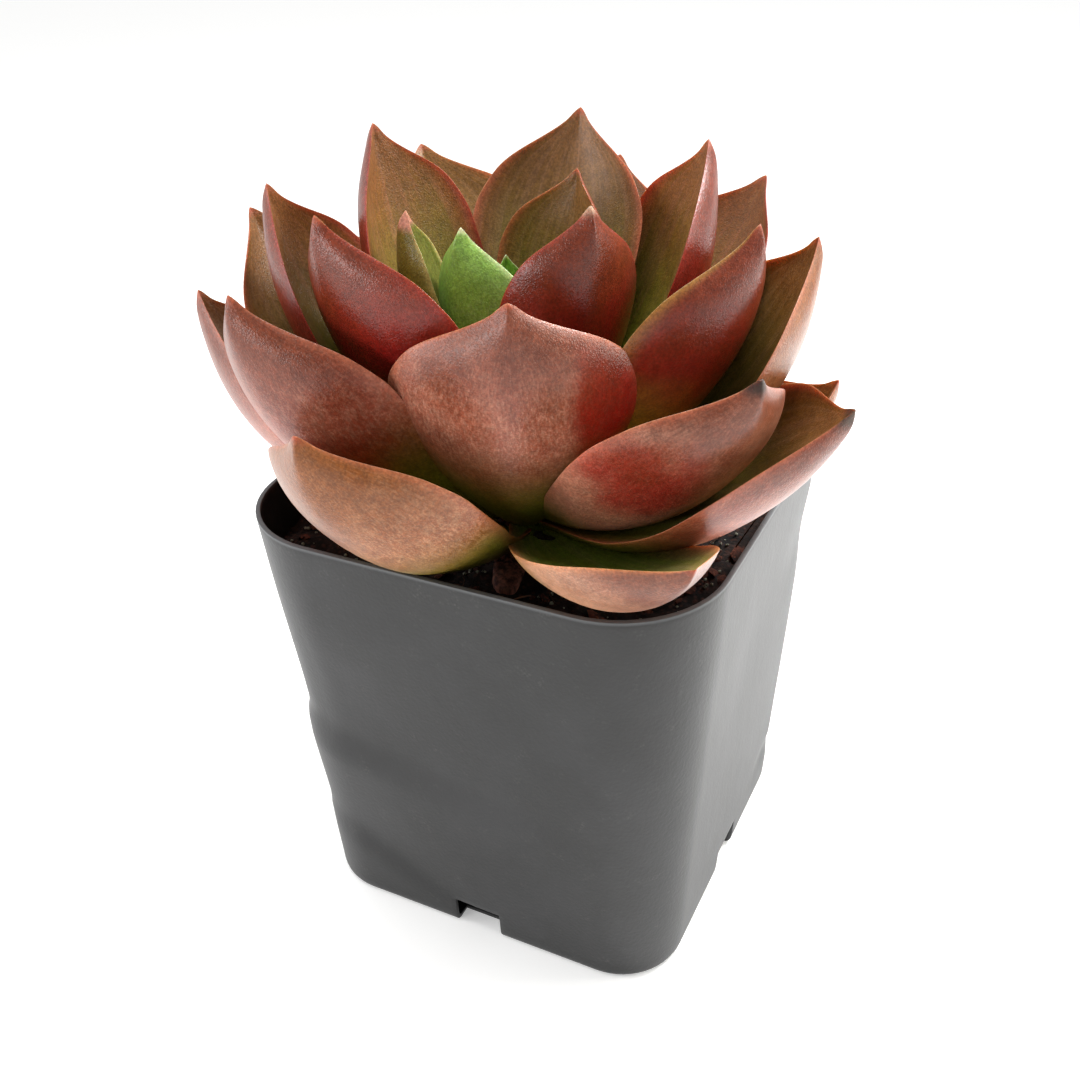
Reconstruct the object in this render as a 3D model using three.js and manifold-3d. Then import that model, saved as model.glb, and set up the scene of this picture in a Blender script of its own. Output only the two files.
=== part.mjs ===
// A rosette succulent growing in a soft square nursery pot.
// Millimetres, +Z up. The origin is the middle of the pot's underside, and the pot's walls face X and Y.
import * as THREE from "three";
import { mergeVertices } from "three/addons/utils/BufferGeometryUtils.js";
import Module from "manifold-3d";

const wasm = await Module();
wasm.setup();

// Pot: a thin tapered shell with rounded corners and one drain notch in each side.
const potHeight = 56;
const potTopWidth = 56;
const potBottomWidth = 48.5;
const potTopCorner = 12;
const potBottomCorner = 8;
const potWall = 0.8;
const potFloor = 0.8;
const potFootRadius = 1.2;
const potFootSteps = 3;
const potCornerSteps = 6;
const notchWidth = 6.3;
const notchHeight = 4.2;
const notchReach = 2.4;

// Soil: fills the pot to a little below the rim.
const soilBelowRim = 6;
const soilCrown = 0.8;
const soilCrownRings = [0.6, 0.25];
const soilCrownCorner = 0.3;
const fitGap = 0.3;

// Stem: rises from the soil near one wall and leans back under the rosette.
const stemFoot = new THREE.Vector2(3.6, -18.2);
const stemHead = new THREE.Vector2(1.2, -8.4);
const stemDepth = 12;
const stemNeckHeight = potHeight - 2;
const stemTopHeight = potHeight + 8.5;
const stemFootRadius = 1.4;
const stemNeckRadius = 2.6;
const stemTopRadius = 1.5;
const stemLeanDepth = 4;
const stemSides = 12;
const stemLevels = 12;

// Leaf: an obovate blade with a raised rim, a keeled back and a short point.
const leafThickness = 3.1;
const leafUpperShare = 0.28;
const leafCup = 0.4;
const leafGap = 0.4;
const leafAcross = 6;
const leafLineSteps = 60;
const leafStations = [0, 0.07, 0.18, 0.31, 0.44, 0.56, 0.66, 0.75, 0.82, 0.88, 0.925, 0.965, 1];
const widthShare = [[0, 0.2], [0.1, 0.28], [0.25, 0.55], [0.4, 0.82], [0.53, 0.97], [0.62, 1],
  [0.7, 0.98], [0.78, 0.9], [0.85, 0.73], [0.9, 0.53], [0.94, 0.29], [0.97, 0.12], [1, 0]];
const thicknessShare = [[0, 0.42], [0.12, 0.62], [0.4, 1], [0.7, 0.8], [0.9, 0.4], [1, 0]];
const twistRun = 0.35;

// Each leaf: name, bearing of its middle seen from above, height of its base over the pot's rim,
// slope at the base and at the tip, length, width, roll about its own line, and sweep to the left
// along it. Oldest first.
const leafRows = [
  ["outer_leaf_01", 314, -2, -2, 46, 39, 18, -10, 13],
  ["outer_leaf_02", 172, -2.5, 4, 30, 38, 21, 0, 0],
  ["outer_leaf_03", 22, -3, -4, 64, 38, 21, 6, 2],
  ["outer_leaf_04", 257, -2.5, 0, 80, 39, 24, 10, 0],
  ["outer_leaf_05", 118, -2.5, 2, 34, 39, 22, 0, 0],
  ["outer_leaf_06", 357, -1.5, 2, 60, 41, 25, 8, -4],
  ["outer_leaf_07", 203, -1.5, 0, 82, 44, 24, -16, 0],
  ["outer_leaf_08", 68, -1.5, 4, 45, 40, 23, 0, 0],
  ["outer_leaf_09", 148, -0.5, 12, 42, 39, 23, 0, 0],
  ["outer_leaf_10", 227, 0, 10, 86, 42, 26, 22, 5],
  ["outer_leaf_11", 98, 0, 14, 50, 39, 23, 0, 0],
  ["outer_leaf_12", 341, 1, 2, 75, 39, 24, -12, 0],
  ["middle_leaf_01", 187, 1.5, 20, 74, 42, 23, -14, 0],
  ["middle_leaf_02", 20, 1, 8, 84, 43, 24, 4, 6],
  ["middle_leaf_03", 296, -0.5, 34, 88, 37, 25, 0, 0],
  ["middle_leaf_04", 140, 2.5, 40, 62, 40, 23, 0, 0],
  ["middle_leaf_05", 6, 2.5, 24, 84, 40, 24, -12, -4],
  ["middle_leaf_06", 200, 2.5, 24, 88, 42, 22, -4, 0],
  ["middle_leaf_07", 90, 1.5, 32, 66, 40, 23, 0, 2],
  ["middle_leaf_08", 54, 2, 28, 60, 42, 21, 0, 6],
  ["middle_leaf_09", 235, 3.5, 38, 84, 38, 23, 12, 0],
  ["middle_leaf_10", 178, 4.5, 46, 92, 39, 21, 2, 0],
  ["middle_leaf_11", 34, 4, 36, 90, 40, 23, 0, 0],
  ["inner_leaf_01", 94, 6.5, 44, 78, 37, 21, -6, 0],
  ["inner_leaf_02", 329, 6, 52, 86, 33, 15, -8, 0],
  ["inner_leaf_03", 74, 7, 62, 86, 29, 16, 0, 0],
  ["inner_leaf_04", 208, 7, 54, 90, 28, 12, 0, 0],
  ["bud_leaf_01", 250, 7.5, 68, 92, 24, 14, 0, 0],
  ["bud_leaf_02", 190, 7.5, 74, 84, 22, 9, 0, 0],
  ["bud_leaf_03", 18, 7.5, 68, 86, 24, 10, 0, 0],
  ["bud_leaf_04", 130, 8, 76, 90, 19, 8, 0, 0],
];

const lerp = THREE.MathUtils.lerp;
const up = new THREE.Vector3(0, 0, 1);

// Reads a smooth curve through [place, value] rows at one place.
function readCurve(rows, place) {
  const last = rows.length - 1;
  let k = 0;
  while (k < last - 1 && place > rows[k + 1][0]) k += 1;
  const [x0, y0] = rows[k];
  const [x1, y1] = rows[k + 1];
  const slope = (i) => {
    const a = Math.max(i - 1, 0);
    const b = Math.min(i + 1, last);
    return (rows[b][1] - rows[a][1]) / (rows[b][0] - rows[a][0]);
  };
  const run = x1 - x0;
  const s = THREE.MathUtils.clamp((place - x0) / run, 0, 1);
  return (2 * s ** 3 - 3 * s ** 2 + 1) * y0 + (s ** 3 - 2 * s ** 2 + s) * run * slope(k)
    + (3 * s ** 2 - 2 * s ** 3) * y1 + (s ** 3 - s ** 2) * run * slope(k + 1);
}

// Joins closed rings of equal length into one solid, with a point or a flat fan at each end.
function skinRings(rings, startPoint, endPoint) {
  const count = rings[0].length;
  const points = [startPoint, ...rings.flat(), endPoint];
  const faces = [];
  const at = (ring, k) => 1 + ring * count + (k % count);
  for (let k = 0; k < count; k += 1) faces.push(0, at(0, k + 1), at(0, k));
  for (let r = 0; r < rings.length - 1; r += 1) {
    for (let k = 0; k < count; k += 1) {
      faces.push(at(r, k), at(r, k + 1), at(r + 1, k + 1));
      faces.push(at(r, k), at(r + 1, k + 1), at(r + 1, k));
    }
  }
  const top = rings.length - 1;
  for (let k = 0; k < count; k += 1) faces.push(at(top, k), at(top, k + 1), points.length - 1);
  const geometry = new THREE.BufferGeometry().setFromPoints(points);
  geometry.setIndex(faces);
  return geometry;
}

// A three.js geometry as a manifold solid, and back again.
const mergeDistance = 1e-4;
function toSolid(geometry) {
  const bare = new THREE.BufferGeometry().setAttribute("position", geometry.getAttribute("position"));
  if (geometry.index) bare.setIndex(geometry.index);
  const merged = mergeVertices(bare, mergeDistance);
  return new wasm.Manifold(new wasm.Mesh({
    numProp: 3,
    vertProperties: merged.attributes.position.array,
    triVerts: new Uint32Array(merged.index.array),
  }));
}

function toGeometry(solid) {
  const mesh = solid.getMesh();
  const geometry = new THREE.BufferGeometry();
  geometry.setAttribute("position", new THREE.BufferAttribute(mesh.vertProperties, 3));
  geometry.setIndex(new THREE.BufferAttribute(mesh.triVerts, 1));
  return geometry;
}

// One level of a square with rounded corners, counter-clockwise from above.
function squareRing(width, corner, z) {
  const ring = [];
  const reach = width / 2 - corner;
  for (let quarter = 0; quarter < 4; quarter += 1) {
    const middle = Math.PI / 4 + quarter * Math.PI / 2;
    const cx = Math.sign(Math.cos(middle)) * reach;
    const cy = Math.sign(Math.sin(middle)) * reach;
    for (let step = 0; step <= potCornerSteps; step += 1) {
      const angle = quarter * Math.PI / 2 + step / potCornerSteps * Math.PI / 2;
      ring.push(new THREE.Vector3(cx + corner * Math.cos(angle), cy + corner * Math.sin(angle), z));
    }
  }
  return ring;
}

// The pot's outline at a height, moved inwards by an inset.
function potRing(z, inset, level = z) {
  const share = z / potHeight;
  const width = lerp(potBottomWidth, potTopWidth, share) - 2 * inset;
  const corner = lerp(potBottomCorner, potTopCorner, share) - inset;
  return squareRing(width, corner, level);
}

// The pot's shell before its notches. The grow value swells it, for cutting the leaves that lean on it.
function potShell(grow) {
  const rings = [];
  for (let step = 0; step <= potFootSteps; step += 1) {
    const turn = step / potFootSteps * Math.PI / 2;
    const rise = potFootRadius * (1 - Math.cos(turn));
    rings.push(potRing(rise, potFootRadius * (1 - Math.sin(turn)) - grow));
  }
  rings.push(potRing(potHeight, -grow, potHeight + grow));
  rings.push(potRing(potHeight, potWall + grow, potHeight + grow));
  rings.push(potRing(potFloor, potWall + grow));
  return toSolid(skinRings(rings, new THREE.Vector3(0, 0, 0), new THREE.Vector3(0, 0, potFloor)));
}

function makePot() {
  let shell = potShell(0);
  const outer = potBottomWidth / 2;
  const cutLength = notchReach + potFootRadius + potWall;
  for (let side = 0; side < 4; side += 1) {
    const box = new THREE.BoxGeometry(cutLength * 2, notchWidth, notchHeight * 2);
    box.translate(outer - notchReach + cutLength, 0, 0);
    box.rotateZ(side * Math.PI / 2);
    shell = shell.subtract(toSolid(box));
  }
  return toGeometry(shell);
}

// The stem's middle line: straight up out of the soil, then leaning to its head.
const soilLevel = potHeight - soilBelowRim;
function stemMiddle(z) {
  const lean = THREE.MathUtils.smoothstep(z, soilLevel - stemLeanDepth, stemNeckHeight);
  return new THREE.Vector3(lerp(stemFoot.x, stemHead.x, lean), lerp(stemFoot.y, stemHead.y, lean), z);
}

function stemRadius(z) {
  if (z < stemNeckHeight) {
    return lerp(stemFootRadius, stemNeckRadius, THREE.MathUtils.smoothstep(z, soilLevel, stemNeckHeight));
  }
  return lerp(stemNeckRadius, stemTopRadius, (z - stemNeckHeight) / (stemTopHeight - stemNeckHeight));
}

function makeStem(grow) {
  const rings = [];
  const bottom = soilLevel - stemDepth - grow;
  const top = stemTopHeight + grow;
  for (let k = 0; k <= stemLevels; k += 1) {
    const z = lerp(bottom, top, k / stemLevels);
    const middle = stemMiddle(z);
    const radius = stemRadius(z) + grow;
    const ring = [];
    for (let side = 0; side < stemSides; side += 1) {
      const angle = side / stemSides * Math.PI * 2;
      ring.push(new THREE.Vector3(radius * Math.cos(angle), radius * Math.sin(angle), 0).add(middle));
    }
    rings.push(ring);
  }
  return skinRings(rings, stemMiddle(bottom), stemMiddle(top));
}

function makeSoil() {
  const wallGap = potWall + fitGap;
  const bottom = potFloor + fitGap;
  const rings = [potRing(bottom, wallGap), potRing(soilLevel, wallGap)];
  for (const share of soilCrownRings) {
    const width = (lerp(potBottomWidth, potTopWidth, soilLevel / potHeight) - 2 * wallGap) * share;
    rings.push(squareRing(width, width * soilCrownCorner, soilLevel + soilCrown * (1 - share)));
  }
  const geometry = skinRings(rings, new THREE.Vector3(0, 0, bottom),
    new THREE.Vector3(0, 0, soilLevel + soilCrown));
  return toGeometry(toSolid(geometry).subtract(toSolid(makeStem(fitGap))));
}

// One leaf as a closed skin. The grow value swells it all round, for cutting its neighbours.
function leafSkin([, bearing, rise, startSlope, endSlope, length, width, roll, sweep], grow) {
  const rad = THREE.MathUtils.degToRad;
  const outward = new THREE.Vector3(Math.cos(rad(bearing)), Math.sin(rad(bearing)), 0);
  const sideways = new THREE.Vector3().crossVectors(up, outward);
  const baseHeight = potHeight + rise;
  const start = stemMiddle(baseHeight).addScaledVector(outward, stemRadius(baseHeight) + leafGap);
  const swept = (direction, t) => direction.clone().applyAxisAngle(up, rad(sweep * t));
  const heading = (t) => {
    const slope = rad(lerp(startSlope, endSlope, t));
    return swept(outward, t).multiplyScalar(Math.cos(slope)).addScaledVector(up, Math.sin(slope));
  };
  const line = [start.clone()];
  for (let k = 0; k < leafLineSteps; k += 1) {
    line.push(line[k].clone().addScaledVector(heading((k + 0.5) / leafLineSteps), length / leafLineSteps));
  }
  const middleAt = (t) => {
    const place = t * leafLineSteps;
    const k = Math.min(Math.floor(place), leafLineSteps - 1);
    return line[k].clone().lerp(line[k + 1], place - k);
  };
  const rings = [];
  const inner = leafStations.slice(0, -1);
  for (const t of inner) {
    const along = heading(t);
    const across = swept(sideways, t).applyAxisAngle(along, rad(roll) * Math.min(1, t / twistRun));
    const face = new THREE.Vector3().crossVectors(along, across);
    const halfWidth = width / 2 * readCurve(widthShare, t);
    const thick = leafThickness * readCurve(thicknessShare, t);
    const ring = [];
    for (let k = 0; k < 2 * leafAcross; k += 1) {
      const lower = k <= leafAcross;
      const v = lower ? 2 * k / leafAcross - 1 : 3 - 2 * k / leafAcross;
      const body = thick * (1 - v * v) * (lower ? leafUpperShare - 1 : leafUpperShare);
      const tilt = Math.atan(2 * leafCup * v);
      const swell = new THREE.Vector2(v, Math.sqrt(1 - v * v) * (lower ? -1 : 1))
        .rotateAround(new THREE.Vector2(), tilt).multiplyScalar(grow);
      ring.push(middleAt(t)
        .addScaledVector(across, halfWidth * v + swell.x)
        .addScaledVector(face, leafCup * halfWidth * v * v + body + swell.y));
    }
    rings.push(ring);
  }
  const tip = middleAt(1).addScaledVector(heading(1), grow);
  const root = start.clone().addScaledVector(heading(0), -grow);
  return skinRings(rings, root, tip);
}

// Leaves press on one another where they crowd, so each is cut back to a gap from the pot, the stem
// and the older leaves.
function makeLeaves() {
  const leaves = [];
  const keepOuts = [potShell(fitGap), toSolid(makeStem(fitGap))];
  for (const row of leafRows) {
    let solid = toSolid(leafSkin(row, 0));
    for (const keepOut of keepOuts) {
      if (solid.intersect(keepOut).volume() > 0) {
        solid = solid.subtract(keepOut);
      }
    }
    const pieces = solid.decompose().sort((a, b) => b.volume() - a.volume());
    leaves.push({ name: row[0], solid: pieces[0] });
    keepOuts.push(toSolid(leafSkin(row, leafGap)));
  }
  return leaves;
}

const potPlastic = new THREE.MeshStandardMaterial({ color: 0x3a3b3c, roughness: 0.55, metalness: 0 });
const soilMix = new THREE.MeshStandardMaterial({ color: 0x2b1d16, roughness: 1, metalness: 0 });
const stemBark = new THREE.MeshStandardMaterial({ color: 0x8a5648, roughness: 0.8, metalness: 0 });
const leafTones = { outer: 0xb0756a, middle: 0x9c4f4a, inner: 0x8d6a3e, bud: 0x7fae3c };

const model = new THREE.Group();
function addPart(name, geometry, material) {
  const mesh = new THREE.Mesh(geometry, material);
  mesh.name = name;
  model.add(mesh);
}

addPart("pot", makePot(), potPlastic);
addPart("soil", makeSoil(), soilMix);
addPart("stem", makeStem(0), stemBark);
for (const leaf of makeLeaves()) {
  const tone = leafTones[leaf.name.split("_")[0]];
  const skin = new THREE.MeshStandardMaterial({ color: tone, roughness: 0.45, metalness: 0 });
  addPart(leaf.name, toGeometry(leaf.solid), skin);
}

export default model;
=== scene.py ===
# Potted rosette succulent: a soft square pot, its soil, a short stem and thirty-one leaves.
# Lengths in the dictionaries are millimetres.
import math
import random

import bpy
from mathutils import Matrix, Vector, noise


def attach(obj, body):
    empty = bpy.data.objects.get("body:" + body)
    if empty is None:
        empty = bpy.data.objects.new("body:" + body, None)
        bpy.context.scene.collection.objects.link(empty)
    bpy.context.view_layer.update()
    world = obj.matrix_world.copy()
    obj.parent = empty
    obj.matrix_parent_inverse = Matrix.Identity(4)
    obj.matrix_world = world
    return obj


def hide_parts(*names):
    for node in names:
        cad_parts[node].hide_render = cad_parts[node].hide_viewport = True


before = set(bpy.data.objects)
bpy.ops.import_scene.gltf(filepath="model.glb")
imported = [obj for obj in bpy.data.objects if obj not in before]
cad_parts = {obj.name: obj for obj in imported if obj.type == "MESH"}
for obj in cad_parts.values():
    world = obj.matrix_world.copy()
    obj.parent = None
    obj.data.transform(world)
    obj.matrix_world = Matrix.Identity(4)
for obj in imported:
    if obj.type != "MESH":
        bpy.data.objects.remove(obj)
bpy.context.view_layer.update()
print("frame loaded:", len(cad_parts), "nodes")

mm = 0.001
scene = bpy.context.scene
scene.view_settings.view_transform = "Standard"


# Selecting, editing and finishing a piece.
def dropSelection():
    if bpy.context.mode != "OBJECT":
        bpy.ops.object.mode_set(mode="OBJECT")
    bpy.ops.object.select_all(action="DESELECT")


def pick(piece):
    dropSelection()
    piece.select_set(True)
    bpy.context.view_layer.objects.active = piece


def newest(name):  # the piece that the last operator added
    piece = bpy.context.view_layer.objects.active
    piece.name = name
    piece.data.name = name
    return piece


def selectMesh():
    bpy.ops.mesh.select_all(action="SELECT")


def editAll(piece):
    pick(piece)
    bpy.ops.object.mode_set(mode="EDIT")
    selectMesh()


def leaveEdit():
    bpy.ops.object.mode_set(mode="OBJECT")


def chooseIn(piece, kind, test):  # edit mode, with only the edges or faces that pass the test
    bpy.ops.object.mode_set(mode="EDIT")
    bpy.ops.mesh.select_mode(type=kind)
    bpy.ops.mesh.select_all(action="DESELECT")
    leaveEdit()
    for item in piece.data.edges if kind == "EDGE" else piece.data.polygons:
        item.select = test(item)
    bpy.ops.object.mode_set(mode="EDIT")


def setPlace(piece):
    pick(piece)
    bpy.ops.object.transform_apply(location=True, rotation=True, scale=True)


def closeEdit():  # turns all faces outwards and leaves edit mode
    selectMesh()
    bpy.ops.mesh.normals_make_consistent(inside=False)
    leaveEdit()


def facesOutward(piece):
    editAll(piece)
    closeEdit()


def applyAll(piece):
    pick(piece)
    for modifier in list(piece.modifiers):
        bpy.ops.object.modifier_apply(modifier=modifier.name)


def smoothFaces(piece, angle=180):
    pick(piece)
    if angle >= 180:
        bpy.ops.object.shade_smooth()
    else:
        bpy.ops.object.shade_smooth_by_angle(angle=math.radians(angle))


def clamp(value, low=0.0, high=1.0):
    return max(low, min(high, value))


def ease(low, high, value):  # 0 at low, 1 at high, smooth between
    share = clamp((value - low) / (high - low))
    return share * share * (3 - 2 * share)


def mix(a, b, share):
    return a + (b - a) * share


def readCurve(rows, place):  # smooth value between [place, value] rows
    last = len(rows) - 1
    k = 0
    while k < last - 1 and place > rows[k + 1][0]:
        k += 1
    x0, y0 = rows[k]
    x1, y1 = rows[k + 1]

    def slope(i):
        a, b = max(i - 1, 0), min(i + 1, last)
        return (rows[b][1] - rows[a][1]) / (rows[b][0] - rows[a][0])

    run = x1 - x0
    s = clamp((place - x0) / run)
    return ((2 * s ** 3 - 3 * s ** 2 + 1) * y0 + (s ** 3 - 2 * s ** 2 + s) * run * slope(k)
            + (3 * s ** 2 - 2 * s ** 3) * y1 + (s ** 3 - s ** 2) * run * slope(k + 1))


def tone(red, green, blue):  # a screen colour as the linear one that shaders take
    def linear(value):
        value /= 255
        return value / 12.92 if value <= 0.04045 else ((value + 0.055) / 1.055) ** 2.4
    return (linear(red), linear(green), linear(blue), 1.0)


# Building shader nodes.
def addNode(tree, kind, settings=None, **values):
    node = tree.nodes.new(kind)
    for key, value in (settings or {}).items():
        setattr(node, key, value)
    for key, value in values.items():
        feed(tree, value, node.inputs[key.replace("_", " ")])
    return node


def feed(tree, value, socket):  # a socket is linked, a screen colour or a number is set
    if isinstance(value, bpy.types.NodeSocket):
        tree.links.new(value, socket)
    else:
        socket.default_value = tone(*value) if isinstance(value, tuple) else value


def calc(tree, operation, a, b=0.0, limit=False):
    node = addNode(tree, "ShaderNodeMath", {"operation": operation, "use_clamp": limit})
    feed(tree, a, node.inputs[0])
    feed(tree, b, node.inputs[1])
    return node.outputs[0]


def times(tree, a, b):
    return calc(tree, "MULTIPLY", a, b)


def plus(tree, a, b):
    return calc(tree, "ADD", a, b)


def minus(tree, a, b):
    return calc(tree, "SUBTRACT", a, b)


def step(tree, value, low, high, to=(0.0, 1.0)):  # smooth rise from low to high
    node = addNode(tree, "ShaderNodeMapRange", {"interpolation_type": "SMOOTHSTEP"})
    feed(tree, value, node.inputs["Value"])
    feed(tree, low, node.inputs["From Min"])
    feed(tree, high, node.inputs["From Max"])
    node.inputs["To Min"].default_value, node.inputs["To Max"].default_value = to
    return node.outputs[0]


def blendColour(tree, share, a, b):
    node = addNode(tree, "ShaderNodeMix", {"data_type": "RGBA"})
    feed(tree, share, node.inputs["Factor"])
    feed(tree, a, node.inputs[6])
    feed(tree, b, node.inputs[7])
    return node.outputs[2]


def cloud(tree, place, scale, detail=2.0, roughness=0.5):  # soft noise round 0.5
    node = addNode(tree, "ShaderNodeTexNoise", None, Vector=place, Scale=scale, Detail=detail,
                   Roughness=roughness)
    return node.outputs["Factor"] if "Factor" in node.outputs else node.outputs["Fac"]


def cells(tree, place, scale):
    return addNode(tree, "ShaderNodeTexVoronoi", None, Vector=place, Scale=scale)


def stretch(tree, place, scale):  # the pattern's place, scaled each way
    node = addNode(tree, "ShaderNodeMapping", None, Vector=place)
    node.inputs["Scale"].default_value = scale
    return node.outputs[0]


def newGroup(name, inputs, outputs):
    group = bpy.data.node_groups.new(name, "ShaderNodeTree")
    for label, kind in inputs:
        group.interface.new_socket(name=label, in_out="INPUT", socket_type=kind)
    for label, kind in outputs:
        group.interface.new_socket(name=label, in_out="OUTPUT", socket_type=kind)
    start = group.nodes.new("NodeGroupInput")
    end = group.nodes.new("NodeGroupOutput")
    return group, start.outputs, end.inputs


def newMaterial(name, finish):
    material = bpy.data.materials.new(name)
    material.use_nodes = True
    tree = material.node_tree
    shader = tree.nodes["Principled BSDF"]
    for label, value in finish.items():
        shader.inputs[label].default_value = value
    return material, tree, shader


def objectPlace(tree):
    return tree.nodes.new("ShaderNodeTexCoord").outputs["Object"]


def useGroup(tree, group, values):
    node = tree.nodes.new("ShaderNodeGroup")
    node.node_tree = group
    for label, value in values.items():
        feed(tree, value, node.inputs[label])
    return node.outputs


def bumpInto(tree, shader, height, depth, strength):
    bump = tree.nodes.new("ShaderNodeBump")
    bump.inputs["Strength"].default_value = strength
    bump.inputs["Distance"].default_value = depth
    tree.links.new(height, bump.inputs["Height"])
    tree.links.new(bump.outputs["Normal"], shader.inputs["Normal"])


colourKind, numberKind, vectorKind = "NodeSocketColor", "NodeSocketFloat", "NodeSocketVector"

# Fine pale specks over a surface, as bloom on a leaf and dust on plastic both show.
speckGroup, given, made = newGroup(
    "fineSpecks",
    [("Place", vectorKind), ("Scale", numberKind), ("Cover", numberKind)],
    [("Mask", numberKind), ("Height", numberKind)])
tree = speckGroup
specks = cells(tree, given["Place"], given["Scale"])
near = step(tree, specks.outputs["Distance"], 0.62, 0.05)
patchy = cloud(tree, given["Place"], times(tree, given["Scale"], 0.16), 3.0, 0.6)
cover = step(tree, patchy, minus(tree, 0.95, given["Cover"]), 0.85)
tree.links.new(times(tree, near, cover), made["Mask"])
tree.links.new(near, made["Height"])


# Camera: angles in degrees, distances and lens in millimetres.
view = {"turn": 27.46, "rise": 31.79, "tilt": -2.37, "distance": 151.4, "aimFront": -1.38,
        "aimHeight": 45.0, "lens": 40.73}


def placeCamera():
    turn, rise, tilt = (math.radians(view[key]) for key in ("turn", "rise", "tilt"))
    back = Vector((math.sin(turn) * math.cos(rise), -math.cos(turn) * math.cos(rise),
                   math.sin(rise)))
    right = Vector((math.cos(turn), math.sin(turn), 0))
    up = back.cross(right)
    across = right * math.cos(tilt) + up * math.sin(tilt)
    upward = up * math.cos(tilt) - right * math.sin(tilt)
    aim = Vector((view["aimFront"] * math.cos(turn), view["aimFront"] * math.sin(turn),
                  view["aimHeight"])) * mm
    spot = aim + back * view["distance"] * mm
    data = bpy.data.cameras.new("viewCamera")
    data.lens = view["lens"]
    data.sensor_width = 36
    data.clip_start = 0.005
    camera = bpy.data.objects.new("viewCamera", data)
    scene.collection.objects.link(camera)
    camera.matrix_world = Matrix((
        (across.x, upward.x, back.x, spot.x), (across.y, upward.y, back.y, spot.y),
        (across.z, upward.z, back.z, spot.z), (0, 0, 0, 1)))
    scene.camera = camera


def addLamp(name, spot, size, power, tint=(1, 1, 1), aim=(0, 0, 0.055)):
    data = bpy.data.lights.new(name, "AREA")
    data.shape = "RECTANGLE"
    data.size, data.size_y = size
    data.energy = power
    data.color = tint
    lamp = bpy.data.objects.new(name, data)
    scene.collection.objects.link(lamp)
    lamp.location = spot
    lamp.rotation_euler = (Vector(aim) - Vector(spot)).to_track_quat("-Z", "Y").to_euler()


studio = {"sky": 0.85, "dimSky": 0.34, "dimTowards": (0.42, -0.89, -0.15), "dimFrom": -0.1,
          "dimTo": 0.75, "floorSize": 8.0}
floorFinish = {"Base Color": tone(240, 240, 239), "Roughness": 0.9,
               "Emission Color": (1, 1, 1, 1), "Emission Strength": 0.3}
# Lamps, in metres and watts.
lamps = {
    "topSoftbox": {"spot": (-0.04, 0.0, 0.42), "size": (0.26, 0.20), "power": 1.02},
    "frontSoftbox": {"spot": (-0.20, -0.36, 0.13), "size": (0.16, 0.10), "power": 0.62},
    "leftSoftbox": {"spot": (-0.32, -0.16, 0.14), "size": (0.12, 0.20), "power": 0.42},
    "rightStrip": {"spot": (0.30, 0.14, 0.14), "size": (0.10, 0.26), "power": 0.55,
                   "tint": (1, 0.985, 0.9)},
    "floorKicker": {"spot": (0.10, 0.12, 0.20), "size": (0.10, 0.10), "power": 0.85,
                    "aim": (0.085, 0.09, 0)},
}


def lightStudio():  # an even white surround, darker where the viewer's side of the room is
    world = bpy.data.worlds.new("studioAir")
    scene.world = world
    world.use_nodes = True
    tree = world.node_tree
    sky = tree.nodes["Background"]
    side = tree.nodes.new("ShaderNodeTexCoord").outputs["Generated"]
    front = addNode(tree, "ShaderNodeVectorMath", {"operation": "DOT_PRODUCT"}, Vector=side)
    front.inputs[1].default_value = Vector(studio["dimTowards"]).normalized()
    strength = step(tree, front.outputs["Value"], studio["dimFrom"], studio["dimTo"],
                    (studio["sky"], studio["dimSky"]))
    seen = tree.nodes.new("ShaderNodeLightPath").outputs["Is Camera Ray"]
    tree.links.new(calc(tree, "MAXIMUM", strength, seen), sky.inputs["Strength"])
    sky.inputs["Color"].default_value = (1, 1, 1, 1)
    for name, lamp in lamps.items():
        addLamp(name, **lamp)
    bpy.ops.mesh.primitive_plane_add(size=studio["floorSize"], location=(0, 0, 0))
    floor = newest("studioFloor")
    floor.data.materials.append(newMaterial("palePaper", floorFinish)[0])


dropSelection()
placeCamera()
lightStudio()
print("camera, light and floor set")


# Pot: a thin tapered shell with rounded corners and a drain notch low in each side.
pot = {"height": 56, "topWidth": 56, "bottomWidth": 48.5, "topCorner": 12, "bottomCorner": 8,
       "wall": 0.55, "footRadius": 1.2, "cornerSteps": 14, "gridStep": 1.0,
       "notchWidth": 6.3, "notchHeight": 4.2, "notchReach": 2.4, "rimRound": 0.2,
       "ripple": 0.12, "rippleSize": 17, "dentFall": 2.2, "creaseReach": 5,
       "stiffFoot": 3, "stiffRim": 4}  # no dents in these heights at the foot and rim
# Soft dents in the wall: [middle x, y, z], [half size along the wall, and up], depth inwards.
dents = [[(-10, -27, 44), (14, 9), -0.25], [(27.0, 18, 43), (9, 7), 0.35],
         [(12, -26, 40), (12, 10), 0.2], [(26.5, -2, 36), (12, 12), 0.3],
         [(-26, 8, 34), (12, 12), 0.3], [(2, 26.5, 40), (16, 12), 0.4],
         [(25, 16, 7), (6, 2), 0.35], [(8, 26, 22), (12, 8), -0.2]]
# Creases where the wall has buckled: start, end, depth at each, fade above and below.
creases = [[(-27, -14, 28.6), (-18.5, -25.6, 28.8), 0.5, 1.1, 14.0, 1.7],
           [(-18.5, -25.6, 28.8), (14, -25.6, 24.5), 1.1, 0.1, 14.0, 3.2],
           [(-25, -12, 14), (-17.0, -24.8, 12.2), 0.3, 0.7, 9.0, 1.5],
           [(-17.0, -24.8, 12.2), (0, -24.3, 3.5), 0.7, 0.15, 9.0, 2.6],
           [(8, 26, 30), (-20, 25.8, 26), 0.1, 0.5, 5.0, 1.6]]


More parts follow.
